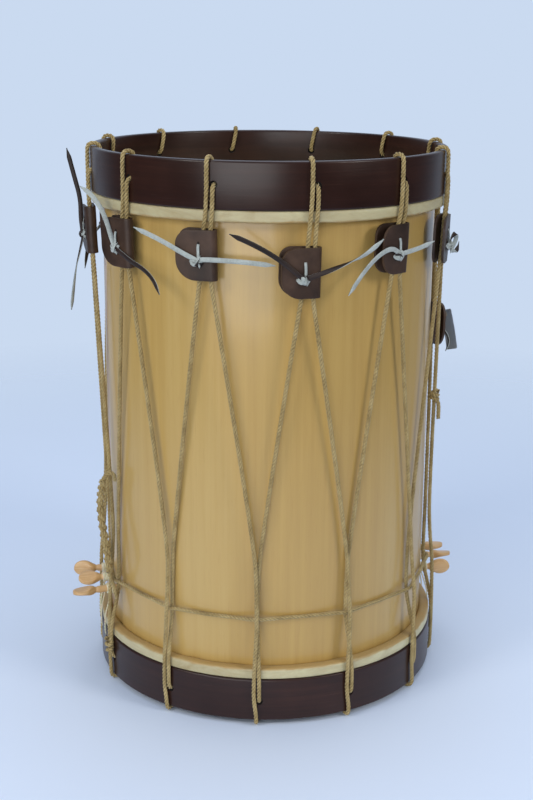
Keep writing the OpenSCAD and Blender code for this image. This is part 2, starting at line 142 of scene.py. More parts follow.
LACE_RIGHT = [
    [[9, -7, -4], [11, 12, 3], [14, 31, 11], [19, 48, 20], [22, 65, 36]],
    [[9, -6, -4], [11, 6, -2], [14, 18, 1], [17, 32, 6]],
    [[9, -8, -7], [11.5, -4, -13], [13.5, 4, -16], [15, 12, -12], [14.5, 19, -6]],
    [[9, -8, -3], [12, -4, 6], [15.5, 2, 13], [19, 5, 14], [21, 5, 8]],
    [[9, -7, -5], [11, 14, -8], [14, 36, -4], [17, 58, 8]],
    [[9, -7, -4], [10, 12, 5], [13, 32, 16], [16, 52, 30]],
    [[9, -7, -5], [11, 12, -12], [14, 30, -26], [16, 42, -46]],
    [[9, -7, -4], [10, 14, 2], [13, 36, 6], [15, 60, 4]],
    [[9, -7, -5], [11, 12, -14], [14, 26, -30], [16, 32, -52]],
    [[9, -9, -8], [13, -8, -22], [20, -7, -44], [28, -6, -90]],
    [[9, -6, -7], [11, 20, -16], [13, 42, -20], [15, 60, -28], [16, 70, -42]],
    [[9, -7, -3], [8, 12, -3], [5, 36, -4], [0, 68, -7]]]
# Half turns of each end, at its start and at its tip: 0 shows the dark grain, 1 the pale flesh side.
LACE_SIDE_LEFT = [(0, 0), (1, 1), (0, 1), (1, 1), (0, 1), (1, 1), (1, 0), (0, 0), (1, 1),
                  (-0.5, -0.42), (0.6, 0.7), (1, 1)]
LACE_SIDE_RIGHT = [(0, 1), (1, 1), (1, 0), (1, 1), (1, 1), (0, 0), (0, 1), (1, 1), (0, 1),
                   (0.1, -0.25), (0, 0), (1, 1)]


# ---------------------------------------------------------------- places
def radial(phi):
    a = math.radians(phi)
    return np.array([math.sin(a), -math.cos(a), 0.0])


def sideways(phi):
    a = math.radians(phi)
    return np.array([math.cos(a), math.sin(a), 0.0])


UP = np.array([0.0, 0.0, 1.0])


def on_drum(phi, r, z):
    """A point at an angle from the front, a radius and a height above the bottom hoop's edge."""
    return radial(phi) * r + UP * (z + LIFT)


def on_route(phi, places):
    """Points given as [angle past phi, radius, height]."""
    return [on_drum(phi + off, r, z) for off, r, z in places]


def tug_r(k):
    """Radius of the strands at tug k: they lean outwards a little towards the top hoop."""
    return TUG_R_HIGH - 0.02 * (TUG_Z_HIGH - TUG_Z[k])


def at_tug(k, t, dz):
    """A point on the strands' line at tug k: t to the right of the right strand, dz up."""
    r = tug_r(k) + dz * math.tan(math.radians(TUG_TILT))
    phi = TOP_PHI + k * STEP + math.degrees(math.atan(t / r))
    return on_drum(phi, math.hypot(r, t), TUG_Z[k] + dz)


def tug_frame(k):
    """Origin and the outward, right and up directions of tug k's own frame."""
    phi = TOP_PHI + k * STEP
    tilt = math.radians(TUG_TILT)
    out, right = radial(phi), sideways(phi)
    return (at_tug(k, 0, 0), out * math.cos(tilt) - UP * math.sin(tilt), right,
            out * math.sin(tilt) + UP * math.cos(tilt))


def in_tug(k, points):
    """Points given as [outwards, right, up] in tug k's frame, in the row frame."""
    origin, out, right, up = tug_frame(k)
    p = np.asarray(points, float)
    return origin + p[:, :1] * out + p[:, 1:2] * right + p[:, 2:3] * up


def peg_phi(side, i):
    return PEG_MID[side] + (i - 2) * PEG_STEP * (-1 if side == "left" else 1)


def peg_high(side, i):
    return PEG_Z + PEG_RISE[side][i - 1]


# ---------------------------------------------------------------- paths and meshes
def whole_turn(count):
    """Angles at even steps round a circle, without the last one again."""
    return np.linspace(0, 2 * math.pi, count, endpoint=False)


def around(w, a, b, r=1.0, r_b=None):
    """Offsets at the angles w round a circle, or an ellipse, in the plane of a and b."""
    return (r * np.cos(w))[:, None] * a + ((r if r_b is None else r_b) * np.sin(w))[:, None] * b


def distances(path):
    """How far each point of a path lies along it."""
    return np.concatenate([[0], np.cumsum(np.linalg.norm(np.diff(path, axis=0), axis=1))])


def unit(rows):
    return rows / np.linalg.norm(rows, axis=1)[:, None]


def soften(path, times=3):
    """Cuts the corners of a path, and leaves its straight stretches straight."""
    p = np.asarray(path, float)
    for _ in range(times):
        a = p[:-1] * 0.75 + p[1:] * 0.25
        b = p[:-1] * 0.25 + p[1:] * 0.75
        mid = np.stack([a, b], 1).reshape(-1, 3)
        p = np.vstack([p[:1], mid[1:-1], p[-1:]])
    return p


def even(path, step):
    """Points at even distances along a path."""
    p = np.asarray(path, float)
    run = distances(p)
    keep = np.concatenate([[True], np.diff(run) > 1e-9])
    p, run = p[keep], run[keep]
    n = max(2, int(round(run[-1] / step)) + 1)
    want = np.linspace(0, run[-1], n)
    return np.stack([np.interp(want, run, p[:, i]) for i in range(3)], 1), want


def directions(path, closed=False):
    p = np.asarray(path)
    if closed:
        d = np.roll(p, -1, 0) - np.roll(p, 1, 0)
    else:
        d = np.gradient(p, axis=0)
    return unit(d)


def carried_frames(path, first=None, closed=False):
    """Two directions across a path, carried along it without twist."""
    d = directions(path, closed)
    side = np.array(first if first is not None else [0.31, 0.17, 0.93], float)
    a = np.zeros_like(path)
    for i, t in enumerate(d):
        side = side - t * (side @ t)
        side = side / np.linalg.norm(side)
        a[i] = side
    return a, np.cross(d, a)


def grid_faces(rings, sides, close_path=False, close_ring=True, start=0):
    k = np.arange(rings if close_path else rings - 1)[:, None]
    i = np.arange(sides if close_ring else sides - 1)[None, :]
    nk, ni = (k + 1) % rings, (i + 1) % sides
    quads = np.stack([k * sides + i, k * sides + ni, nk * sides + ni, nk * sides + i], -1)
    return quads.reshape(-1, 4) + start


def link_object(name, data):
    ob = bpy.data.objects.new(name, data)
    bpy.context.scene.collection.objects.link(ob)
    return ob


def mesh_object(name, verts, quads, uv=None, ngons=(), smooth=True):
    """A mesh from points in millimetres, quads, and end faces."""
    mesh = bpy.data.meshes.new(name)
    faces = [tuple(int(x) for x in f) for f in quads]
    faces += [tuple(int(x) for x in f) for f in ngons]
    mesh.from_pydata((np.asarray(verts) * MM).tolist(), [], faces)
    if uv is not None:
        layer = mesh.uv_layers.new(name="along")
        loops = np.zeros(len(mesh.loops), np.int32)
        mesh.loops.foreach_get("vertex_index", loops)
        layer.data.foreach_set("uv", np.asarray(uv, np.float32)[loops].ravel())
    mesh.polygons.foreach_set("use_smooth", [smooth] * len(mesh.polygons))
    mesh.validate()
    mesh.update()
    return link_object(name, mesh)


class Builder:
    """Gathers tubes and grids into one mesh."""

    def __init__(self):
        self.verts, self.quads, self.ngons, self.uv = [], [], [], []
        self.count = 0

    def add(self, rings, uv, close_path=False, caps=True):
        n, m = rings.shape[:2]
        self.verts.append(rings.reshape(-1, 3))
        self.uv.append(uv.reshape(-1, 2))
        self.quads.append(grid_faces(n, m, close_path, True, self.count))
        if caps and not close_path:
            self.ngons.append([self.count + i for i in range(m)][::-1])
            self.ngons.append([self.count + (n - 1) * m + i for i in range(m)])
        self.count += n * m

    def tube(self, path, r, sides=8, run=None, closed=False, first=None, core=None):
        """A tube along a path. core, a middle line and a radius, puts a point's depth in its uv."""
        a, b = carried_frames(path, first, closed)
        w = whole_turn(sides)
        rings = (path[:, None] + r
                 * (np.cos(w)[None, :, None] * a[:, None] + np.sin(w)[None, :, None] * b[:, None]))
        if run is None:
            run = distances(path)
        across = (w / (2 * math.pi) * 0.01)[None, :]
        if core is not None:
            across = np.linalg.norm(rings - core[0][:, None], axis=2) / core[1]
        uv = np.stack(np.broadcast_arrays(run[:, None] * MM, across), -1)
        self.add(rings, uv, closed)

    def object(self, name, smooth=True):
        return mesh_object(name, np.vstack(self.verts), np.vstack(self.quads), np.vstack(self.uv),
                           self.ngons, smooth)


def laid_strands(builder, path, radius, pitch, step, phase=0.0, closed=False, strands=3):
    """Rope of twisted strands along a path."""
    line, run = even(path, step)
    for _ in range(int(9 / step)):
        line[1:-1] = (line[:-2] + 2 * line[1:-1] + line[2:]) / 4
    if closed:
        line, run = line[:-1], run[:-1]
    a, b = carried_frames(line, None, closed)
    turns = run / pitch
    if closed:
        total = run[-1] + step
        turns = run / total * round(total / pitch)
    offset = radius * 0.54
    thick = radius * 0.50
    for s in range(strands):
        w = 2 * math.pi * (turns + s / strands + phase)
        builder.tube(line + around(w, a, b, offset), thick, 6, run, closed, a[0], (line, radius))


def lathe(name, profile, segments):
    """A closed section (radius, height above the bottom hoop's edge) turned round the axis."""
    p = np.asarray(profile, float)
    phi = whole_turn(segments)
    rings = np.stack([p[None, :, 0] * np.sin(phi)[:, None], -p[None, :, 0] * np.cos(phi)[:, None],
                      np.broadcast_to(p[None, :, 1] + LIFT, (segments, len(p)))], -1)
    return mesh_object(name, rings.reshape(-1, 3), grid_faces(segments, len(p), True, True))


def rounded_section(outer, inner, low, high, edge):
    """A rectangle with rounded corners, going round anticlockwise."""
    out = []
    for cx, cz, start in ((outer - edge, low + edge, -90), (outer - edge, high - edge, 0),
                          (inner + edge, high - edge, 90), (inner + edge, low + edge, 180)):
        for i in range(5):
            a = math.radians(start + 22.5 * i)
            out.append((cx + edge * math.cos(a), cz + edge * math.sin(a)))
    return out


def apply_modifiers(ob):
    """Replaces a piece's mesh with the mesh that its modifiers give."""
    graph = bpy.context.evaluated_depsgraph_get()
    mesh = bpy.data.meshes.new_from_object(ob.evaluated_get(graph))
    ob.modifiers.clear()
    ob.data = mesh


def shade_by_angle(ob, degrees=35):
    """Smooth shading, with sharp edges where faces meet at more than the angle."""
    bm = bmesh.new()
    bm.from_mesh(ob.data)
    limit = math.radians(degrees)
    for e in bm.edges:
        e.smooth = len(e.link_faces) == 2 and e.calc_face_angle(0) < limit
    for f in bm.faces:
        f.smooth = True
    bm.to_mesh(ob.data)
    bm.free()


def drill(ob, bores, inner, outer):
    """Takes radial bores, each (angle, height, radius), out of a wall between two radii."""
    build = Builder()
    for phi, z, r in bores:
        path = np.array([on_drum(phi, inner - BORE_OVER, z), on_drum(phi, outer + BORE_OVER, z)])
        build.tube(path, r, 28, first=UP)
    cutter = build.object("cutter", False)
    mod = ob.modifiers.new("bores", "BOOLEAN")
    mod.object = cutter
    mod.operation = "DIFFERENCE"
    mod.solver = "EXACT"
    apply_modifiers(ob)
    bpy.data.objects.remove(cutter)
    shade_by_angle(ob)


# ---------------------------------------------------------------- materials
class Nodes:
    """A small helper to write a node material."""

    def __init__(self, name):
        self.mat = bpy.data.materials.new(name)
        self.mat.use_nodes = True
        self.tree = self.mat.node_tree
        self.tree.nodes.clear()
        self.out = self.tree.nodes.new("ShaderNodeOutputMaterial")
        self.bsdf = self.tree.nodes.new("ShaderNodeBsdfPrincipled")
        self.link(self.bsdf.outputs[0], self.out.inputs["Surface"])

    def link(self, a, b):
        self.tree.links.new(a, b)

    def new(self, kind, **values):
        node = self.tree.nodes.new("ShaderNode" + kind)
        for key, value in values.items():
            setattr(node, key, value)
        return node

    def feed(self, socket, value):
        if isinstance(value, bpy.types.NodeSocket):
            self.link(value, socket)
        else:
            socket.default_value = value

    def set(self, **values):
        names = {"color": "Base Color", "rough": "Roughness", "coat": "Coat Weight",
                 "coat_rough": "Coat Roughness", "sheen": "Sheen Weight", "spec": "Specular IOR Level",
                 "sss": "Subsurface Weight", "sss_scale": "Subsurface Scale", "normal": "Normal"}
        for key, value in values.items():
            self.feed(self.bsdf.inputs[names[key]], value)

    def math(self, op, a, b=0.0):
        node = self.new("Math", operation=op)
        self.feed(node.inputs[0], a)
        self.feed(node.inputs[1], b)
        return node.outputs[0]

    def times(self, value, factor):
        return self.math("MULTIPLY", value, factor)

    def add(self, a, b):
        return self.math("ADD", a, b)

    def blend(self, a, share_a, b, share_b):
        """Two values added up, each with its own share."""
        return self.add(self.times(a, share_a), self.times(b, share_b))

    def place(self):
        """The point's own place on the piece, in metres."""
        return self.new("TexCoord").outputs["Object"]

    def split(self, vector):
        node = self.new("SeparateXYZ")
        self.link(vector, node.inputs[0])
        return node.outputs

    def along(self):
        """The uv of a swept piece: the way along it, and round it or the depth in its rope."""
        return self.split(self.new("UVMap", uv_map="along").outputs[0])

    def stretched(self, x, times_x, y, times_y, z=0.0, times_z=None):
        """Coordinates drawn out unevenly, for grain. Without times_z, z is a constant."""
        node = self.new("CombineXYZ")
        third = z if times_z is None else self.times(z, times_z)
        for socket, value in zip(node.inputs, (self.times(x, times_x), self.times(y, times_y), third)):
            self.feed(socket, value)
        return node.outputs[0]

    def noise(self, vector, scale, detail=4.0, rough=0.55, distortion=0.0):
        node = self.new("TexNoise")
        self.feed(node.inputs["Vector"], vector)
        node.inputs["Scale"].default_value = scale
        node.inputs["Detail"].default_value = detail
        node.inputs["Roughness"].default_value = rough
        node.inputs["Distortion"].default_value = distortion
        return node.outputs["Fac"]

    def spread(self, value, low, high, out_low=0.0, out_high=1.0):
        node = self.new("MapRange")
        self.feed(node.inputs[0], value)
        for i, v in enumerate((low, high, out_low, out_high)):
            self.feed(node.inputs[i + 1], v)
        return node.outputs[0]

    def ramp(self, value, stops):
        node = self.new("ValToRGB")
        self.feed(node.inputs[0], value)
        ramp = node.color_ramp
        while len(ramp.elements) < len(stops):
            ramp.elements.new(0.5)
        for element, (at, colour) in zip(ramp.elements, stops):
            element.position = at
            element.color = srgb(colour)
        return node.outputs[0]

    def mix(self, factor, base, colour):
        node = self.new("Mix", data_type="RGBA")
        self.feed(node.inputs[0], factor)
        self.link(base, node.inputs[6])
        node.inputs[7].default_value = srgb(colour)
        return node.outputs[2]

    def bump(self, height, strength, distance):
        node = self.new("Bump")
        self.feed(node.inputs["Height"], height)
        node.inputs["Strength"].default_value = strength
        node.inputs["Distance"].default_value = distance
        return node.outputs[0]


def srgb(colour):
    """A colour given as 0 to 255 in sRGB, in linear light with alpha."""
    out = []
    for c in colour:
        c = c / 255
        out.append(c / 12.92 if c <= 0.04045 else ((c + 0.055) / 1.055) ** 2.4)
    return (*out, 1.0)


def wrapped(n, radius):
    """Coordinates that run round the drum's axis and up: (round, up, outwards), in metres."""
    vector = n.place()
    xyz = n.split(vector)
    angle = n.math("ARCTAN2", xyz[0], n.times(xyz[1], -1.0))
    return n.times(angle, radius * MM), xyz[2], angle, vector


def shell_material():
    n = Nodes("shell_lacquered_beech")
    round_, up, angle, _ = wrapped(n, SHELL_R)
    broad = n.noise(n.stretched(round_, 9.0, up, 0.9, 0.0), 1.0, 3.0, 0.5, 0.4)
    grain = n.noise(n.stretched(round_, 120.0, up, 3.0, 2.0), 1.0, 6.0, 0.6, 0.3)
    fleck = n.noise(n.stretched(round_, 620.0, up, 34.0, 5.0), 1.0, 2.0, 0.5)
    tone = n.blend(broad, 0.62, grain, 0.38)
    base = n.ramp(tone, [(0.30, (178, 143, 80)), (0.5, (191, 157, 90)), (0.70, (200, 169, 105))])
    flecks = n.spread(fleck, 0.60, 0.78, 0.0, 0.22)
    colour = n.mix(flecks, base, (160, 116, 62))
    # the dark seam, and the redder band of wood to its right, as angles round the drum
    seam_at = math.radians(SEAM_PHI)
    off = n.math("ABSOLUTE", n.math("SUBTRACT", angle, seam_at))
    band_off = n.math("ABSOLUTE", n.math("SUBTRACT", angle, seam_at + 0.042))
    colour = n.mix(n.spread(band_off, 0.030, 0.040, 0.5, 0.0), colour, (176, 126, 110))
    colour = n.mix(n.spread(off, 0.006, 0.012, 0.85, 0.0), colour, (92, 52, 44))
    n.set(color=colour, rough=n.spread(grain, 0.3, 0.7, 0.34, 0.42), coat=0.35, coat_rough=0.12,
          normal=n.bump(n.add(grain, n.times(fleck, 0.3)), 0.12, 0.0006))
    return n.mat


def inner_wood_material():
    n = Nodes("plain_inner_wood")
    xyz = n.split(n.place())
    grain = n.noise(n.stretched(xyz[0], 90.0, xyz[1], 90.0, xyz[2], 6.0), 1.0, 4.0)
    n.set(color=n.ramp(grain, [(0.3, (176, 134, 82)), (0.7, (206, 168, 114))]), rough=0.6,
          normal=n.bump(grain, 0.1, 0.0005))
    return n.mat


def hoop_material():
    n = Nodes("hoop_brown_stain")
    round_, up, _, vector = wrapped(n, HOOP_R)
    grain = n.noise(n.stretched(round_, 5.0, up, 160.0, 1.0), 1.0, 6.0, 0.6, 0.5)
    cloud = n.noise(vector, 14.0, 3.0)
    tone = n.blend(grain, 0.5, cloud, 0.5)
    base = n.ramp(tone, [(0.32, (36, 18, 13)), (0.5, (45, 24, 18)), (0.68, (56, 31, 23))])
    scratch = n.noise(n.stretched(round_, 22.0, up, 900.0, 7.0), 1.0, 2.0, 0.5)
    worn = n.spread(scratch, 0.66, 0.80, 0.0, 0.22)
    colour = n.mix(worn, base, (104, 78, 68))
    n.set(color=colour, rough=n.spread(cloud, 0.3, 0.7, 0.27, 0.36), spec=0.34, coat=0.05,
          coat_rough=0.2,
          normal=n.bump(n.add(grain, n.times(scratch, 0.6)), 0.16, 0.0006))
    return n.mat


def skin_material():
    n = Nodes("head_skin")
    vector = n.place()
    xyz = n.split(vector)
    cloud = n.noise(vector, 9.0, 5.0, 0.6, 0.6)
    fine = n.noise(vector, 130.0, 4.0, 0.6)
    veins = n.noise(n.stretched(xyz[0], 18.0, xyz[1], 18.0, xyz[2], 60.0), 1.0, 6.0, 0.62, 1.4)
    tone = n.blend(cloud, 0.55, veins, 0.45)
    colour = n.ramp(tone, [(0.30, (160, 138, 92)), (0.45, (186, 173, 134)),
                           (0.60, (204, 195, 155)), (0.72, (213, 206, 170))])
    middle = (LIFT + DRUM_H / 2) * MM
    ledge = (DRUM_H / 2 - HOOP_H - FLESH_H) * MM
    height = n.math("ABSOLUTE", n.math("SUBTRACT", xyz[2], middle))
    ragged = n.add(height, n.times(n.math("SUBTRACT", veins, 0.5), 0.006))
    tan = n.spread(ragged, ledge + 0.0008, ledge + 0.0026, 0.85, 0.0)
    colour = n.mix(tan, colour, (176, 142, 84))
    n.set(color=colour, rough=0.52, sss=0.12, sss_scale=0.003, coat=0.08, coat_rough=0.4,
          normal=n.bump(n.add(fine, n.times(veins, 1.2)), 0.22, 0.0005))
    n.bsdf.inputs["Subsurface Radius"].default_value = (1.0, 0.7, 0.4)
    return n.mat


def rope_material():
    n = Nodes("laid_rope")
    vector = n.place()
    along = n.along()
    fibre = n.noise(vector, 900.0, 3.0, 0.7)
    patch = n.noise(vector, 60.0, 3.0, 0.6)
    tone = n.blend(fibre, 0.6, patch, 0.4)
    colour = n.ramp(tone, [(0.30, (110, 89, 53)), (0.46, (163, 141, 92)), (0.64, (200, 179, 129))])
    # painted shade: each strand is darker where its surface lies deep in the rope, in the grooves between
    # the strands
    groove_shade = n.spread(along[1], 0.42, 0.92, 0.85, 0.0)
    colour = n.mix(groove_shade, colour, (74, 56, 30))
    n.set(color=colour, rough=0.82, spec=0.25, sheen=0.15,
          normal=n.bump(fibre, 0.55, 0.0006))
    return n.mat


def leather_material(name, dark, mid, light, rough=0.46):
    n = Nodes(name)
    vector = n.place()
    cloud = n.noise(vector, 28.0, 4.0, 0.6)
    pores = n.new("TexVoronoi", feature="DISTANCE_TO_EDGE")
    n.link(vector, pores.inputs["Vector"])
    pores.inputs["Scale"].default_value = 1300.0
    pebble = n.spread(pores.outputs["Distance"], 0.0, 0.18)
    crease = n.noise(vector, 240.0, 4.0, 0.6)
    colour = n.ramp(cloud, [(0.32, dark), (0.5, mid), (0.68, light)])
    n.set(color=colour, rough=n.spread(cloud, 0.3, 0.7, rough - 0.05, rough + 0.08), spec=0.45,
          normal=n.bump(n.add(pebble, crease), 0.14, 0.00035))
    return n.mat


def flesh_side_material():
    n = Nodes("lace_flesh_side")
    vector = n.place()
    fuzz = n.noise(vector, 520.0, 4.0, 0.7)
    cloud = n.noise(vector, 70.0, 3.0)
    tone = n.blend(fuzz, 0.5, cloud, 0.5)
    n.set(color=n.ramp(tone, [(0.3, (146, 152, 148)), (0.7, (194, 202, 198))]), rough=0.9, sheen=0.3,
          normal=n.bump(fuzz, 0.5, 0.0004))
    return n.mat


def peg_material():
    n = Nodes("turned_peg_wood")
    along = n.along()
    vector = n.place()
    grain = n.noise(n.stretched(along[0], 30.0, along[1], 900.0, 0.0), 1.0, 5.0, 0.6, 0.5)
    cloud = n.noise(vector, 60.0, 2.0)
    tone = n.blend(grain, 0.6, cloud, 0.4)
    n.set(color=n.ramp(tone, [(0.3, (190, 144, 90)), (0.5, (210, 168, 114)), (0.7, (222, 188, 140))]),
          rough=0.38, coat=0.25, coat_rough=0.25, normal=n.bump(grain, 0.12, 0.0004))
    return n.mat


def gut_material():
    n = Nodes("gut_strand")
    along = n.along()
    ply = n.noise(n.stretched(along[0], 260.0, along[1], 400.0, 0.0), 1.0, 3.0)
    n.set(color=n.ramp(ply, [(0.3, (206, 196, 160)), (0.7, (236, 230, 206))]), rough=0.45,
          sss=0.2, sss_scale=0.002, normal=n.bump(ply, 0.2, 0.0003))
    return n.mat


def card_material():
    n = Nodes("grey_card")
    vector = n.place()
    fibre = n.noise(vector, 700.0, 4.0, 0.6)
    cloud = n.noise(vector, 40.0, 2.0)
    n.set(color=n.ramp(cloud, [(0.3, (142, 152, 168)), (0.7, (158, 168, 184))]), rough=0.55,
          coat=0.15, coat_rough=0.3, normal=n.bump(fibre, 0.08, 0.0002))
    return n.mat


def dark_hole_material():
    n = Nodes("slit_shadow")
    n.set(color=n.ramp(n.noise(n.place(), 300.0), [(0.3, (16, 10, 8)), (0.7, (28, 18, 14))]), rough=0.9)
    return n.mat


def floor_material():
    """Pale near the drum, and fading into the plain backdrop further out."""
    n = Nodes("studio_floor")
    vector = n.place()
    xyz = n.split(vector)
    cloud = n.noise(vector, 0.8, 2.0)
    n.set(color=n.ramp(cloud, [(0.3, (222, 233, 251)), (0.7, (224, 235, 253))]), rough=0.9, spec=0.1)
    away = n.math("SQRT", n.add(n.math("POWER", xyz[0], 2.0), n.math("POWER", xyz[1], 2.0)))
    clear = n.new("BsdfTransparent")
    blend = n.new("MixShader")
    n.link(n.spread(away, 0.6, 1.7), blend.inputs[0])
    n.link(n.bsdf.outputs[0], blend.inputs[1])
    n.link(clear.outputs[0], blend.inputs[2])
    n.link(blend.outputs[0], n.out.inputs["Surface"])
    return n.mat


MAT = {
    "shell_wood": shell_material(),
    "inner_wood": inner_wood_material(),
    "hoop_wood": hoop_material(),
    "head_skin": skin_material(),
    "rope": rope_material(),
    "tug_leather": leather_material("tug_leather", (44, 29, 20), (60, 41, 29), (78, 56, 42)),
    "lace_grain": leather_material("lace_grain", (28, 18, 14), (40, 26, 20), (54, 38, 30), 0.5),
    "lace_flesh": flesh_side_material(),
    "peg_wood": peg_material(),
    "gut": gut_material(),
    "tag_card": card_material(),
    "slit": dark_hole_material(),
}


def finish_piece(ob, materials, body, replaced=()):
    """Gives a piece its materials and its body, and hides the CAD nodes it stands for."""
    for m in materials:
        ob.data.materials.append(MAT[m])
    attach(ob, body)
    if replaced:
        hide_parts(*replaced)


# ---------------------------------------------------------------- shell, inner parts and hoops
def build_shell():
    inner = SHELL_R - SHELL_T
    shell = lathe("shell_ply", rounded_section(SHELL_R, inner, SHELL_LOW, SHELL_HIGH, SHELL_EDGE), 320)
    bores = [(VENT_PHI, DRUM_H / 2, VENT_R)]
    bores += [(peg_phi(side, i), peg_high(side, i), PEG_BORE_R) for side in PEG_MID for i in (1, 2, 3)]
    drill(shell, bores, inner, SHELL_R)
    finish_piece(shell, ["shell_wood"], "drum", ["shell"])
    for node in ("upper_reinforcing_ring", "lower_reinforcing_ring", "left_peg_block",
                 "right_peg_block", "batter_flesh_hoop", "resonant_flesh_hoop"):
        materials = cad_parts[node].data.materials
        materials.clear()
        materials.append(MAT["inner_wood"])


def vent_grommet():
    """A small turned ring round the vent hole."""
    build = Builder()
    out, side = radial(VENT_PHI), sideways(VENT_PHI)
    centre = on_drum(VENT_PHI, SHELL_R + 0.3, DRUM_H / 2)
    w = whole_turn(48)
    r = VENT_R + 1.6
    ring = centre + around(w, side, UP, r)
    ring = ring + out * (np.sqrt(SHELL_R ** 2 - (r * np.cos(w)) ** 2) - SHELL_R)[:, None]
    build.tube(ring, 1.2, 10, closed=True, first=out)
    finish_piece(build.object("vent_ring"), ["peg_wood"], "drum")


def build_hoops():
    for name, node, low, high, first, hole_z in (
            ("top_counterhoop", "top_hoop", DRUM_H - HOOP_H, DRUM_H, TOP_PHI, TOP_HOLE_Z),
            ("bottom_counterhoop", "bottom_hoop", 0.0, HOOP_H, FOOT_PHI, FOOT_HOLE_Z)):
        hoop = lathe(name, rounded_section(HOOP_R, HOOP_IN, low, high, HOOP_EDGE), 384)
        bores = [(first + k * STEP + HOLE_PHI, hole_z, HOLE_R) for k in range(POINTS)]
        if node == "bottom_hoop":
            bores += [(peg_phi(side, i), SNARE_HOLE_Z, SNARE_HOLE_R)
                      for side in PEG_MID for i in (1, 2, 3)]
        drill(hoop, bores, HOOP_IN, HOOP_R)
        finish_piece(hoop, ["hoop_wood"], "drum", [node])
        shade_rope_holes(name, first, hole_z)


def shade_rope_holes(name, first, hole_z):
    """Painted shade in each rope hole: a dark sleeve on its wall, narrowing round the rope that nearly
    fills the hole.
    """
    wide, narrow = HOLE_R + 0.05, 2.7
    build = Builder()
    for k in range(POINTS):
        phi = first + k * STEP + HOLE_PHI
        rings = [on_drum(phi, reach, hole_z) + around(whole_turn(24), sideways(phi), UP, r)
                 for r, reach in ((wide, HOOP_R - 1.0), (narrow, HOOP_R - HOOP_EDGE),
                                  (narrow, HOOP_IN + HOOP_EDGE), (wide, HOOP_IN + 1.0))]
        build.add(np.array(rings), np.zeros((4, 24, 2)), caps=False)
    finish_piece(build.object(f"{name}_hole_shade"), ["slit"], "drum")


# ---------------------------------------------------------------- heads
def head_profile(edge, way):
    """Section of a skin and how loosely each of its points lies, from the centre outwards.
    edge is the bearing edge's height, way is 1 for the upper head and -1 for the lower one."""
    face = edge + way * SKIN_T
    near = edge - way * EDGE_RISE
    far = near - way * FLESH_H
    rows = [(0.01, face, 0.0), (60, face, 0.0), (120, face, 0.0), (170, face, 0.0),
            (SHELL_R - 3, face, 0.0), (COLLAR_R - 1, face, 0.0), (COLLAR_R - 0.2, face - way * 0.8, 0.0),
            (COLLAR_R, face - way * 2.4, 0.1), (COLLAR_R + 0.2, near + way * 0.8, 0.4),
            (COLLAR_R + 1.2, near + way * 0.1, 0.6), (COLLAR_R + 5, near, 0.6),
            (FLESH_OUT - 1.6, near - way * 0.1, 0.3), (FLESH_OUT - 0.5, near - way * 0.7, 0.3),
            (FLESH_OUT, near - way * 2.0, 0.5)]
    rows += [(FLESH_OUT, near - way * (2.0 + (FLESH_H - 4.2) * i / 6), 0.8) for i in range(1, 7)]
    rows += [(FLESH_OUT - 0.5, far + way * 1.0, 1.0), (FLESH_OUT - 1.6, far + way * 0.25, 1.0),
             (FLESH_OUT - 4, far, 1.0), (COLLAR_R + 3, far, 1.0), (COLLAR_R + 0.6, far + way * 0.2, 0.8),
             (SHELL_R + 0.15, far + way * 1.4, 0.2), (SHELL_R + 0.1, edge - way * 1.0, 0.0),
             (SHELL_R - 2, edge, 0.0), (150, edge, 0.0), (0.01, edge, 0.0)]
    return rows


def ripple(a, size, height):
    """Smooth noise round the drum's edge: a larger size gives shorter waves."""
    return noise.noise(Vector((math.cos(a) * size, math.sin(a) * size, height)))


def build_head(name, node, edge, way, seed):
    rows = head_profile(edge, way)
    segments = 420
    verts = np.zeros((segments, len(rows), 3))
    for i, a in enumerate(whole_turn(segments)):
        for j, (r, z, loose) in enumerate(rows):
            if loose:
                r += loose * (0.34 * ripple(a, 16, z * 0.05 + seed) + 0.22 * ripple(a, 52, z * 0.09 + seed))
            if loose >= 0.8:
                z += loose * 0.9 * ripple(a, 9, seed + 4.0)
            verts[i, j] = (r * math.sin(a), -r * math.cos(a), z + LIFT)
    head = mesh_object(name, verts.reshape(-1, 3), grid_faces(segments, len(rows), True, True))
    finish_piece(head, ["head_skin"], "drum", [node])


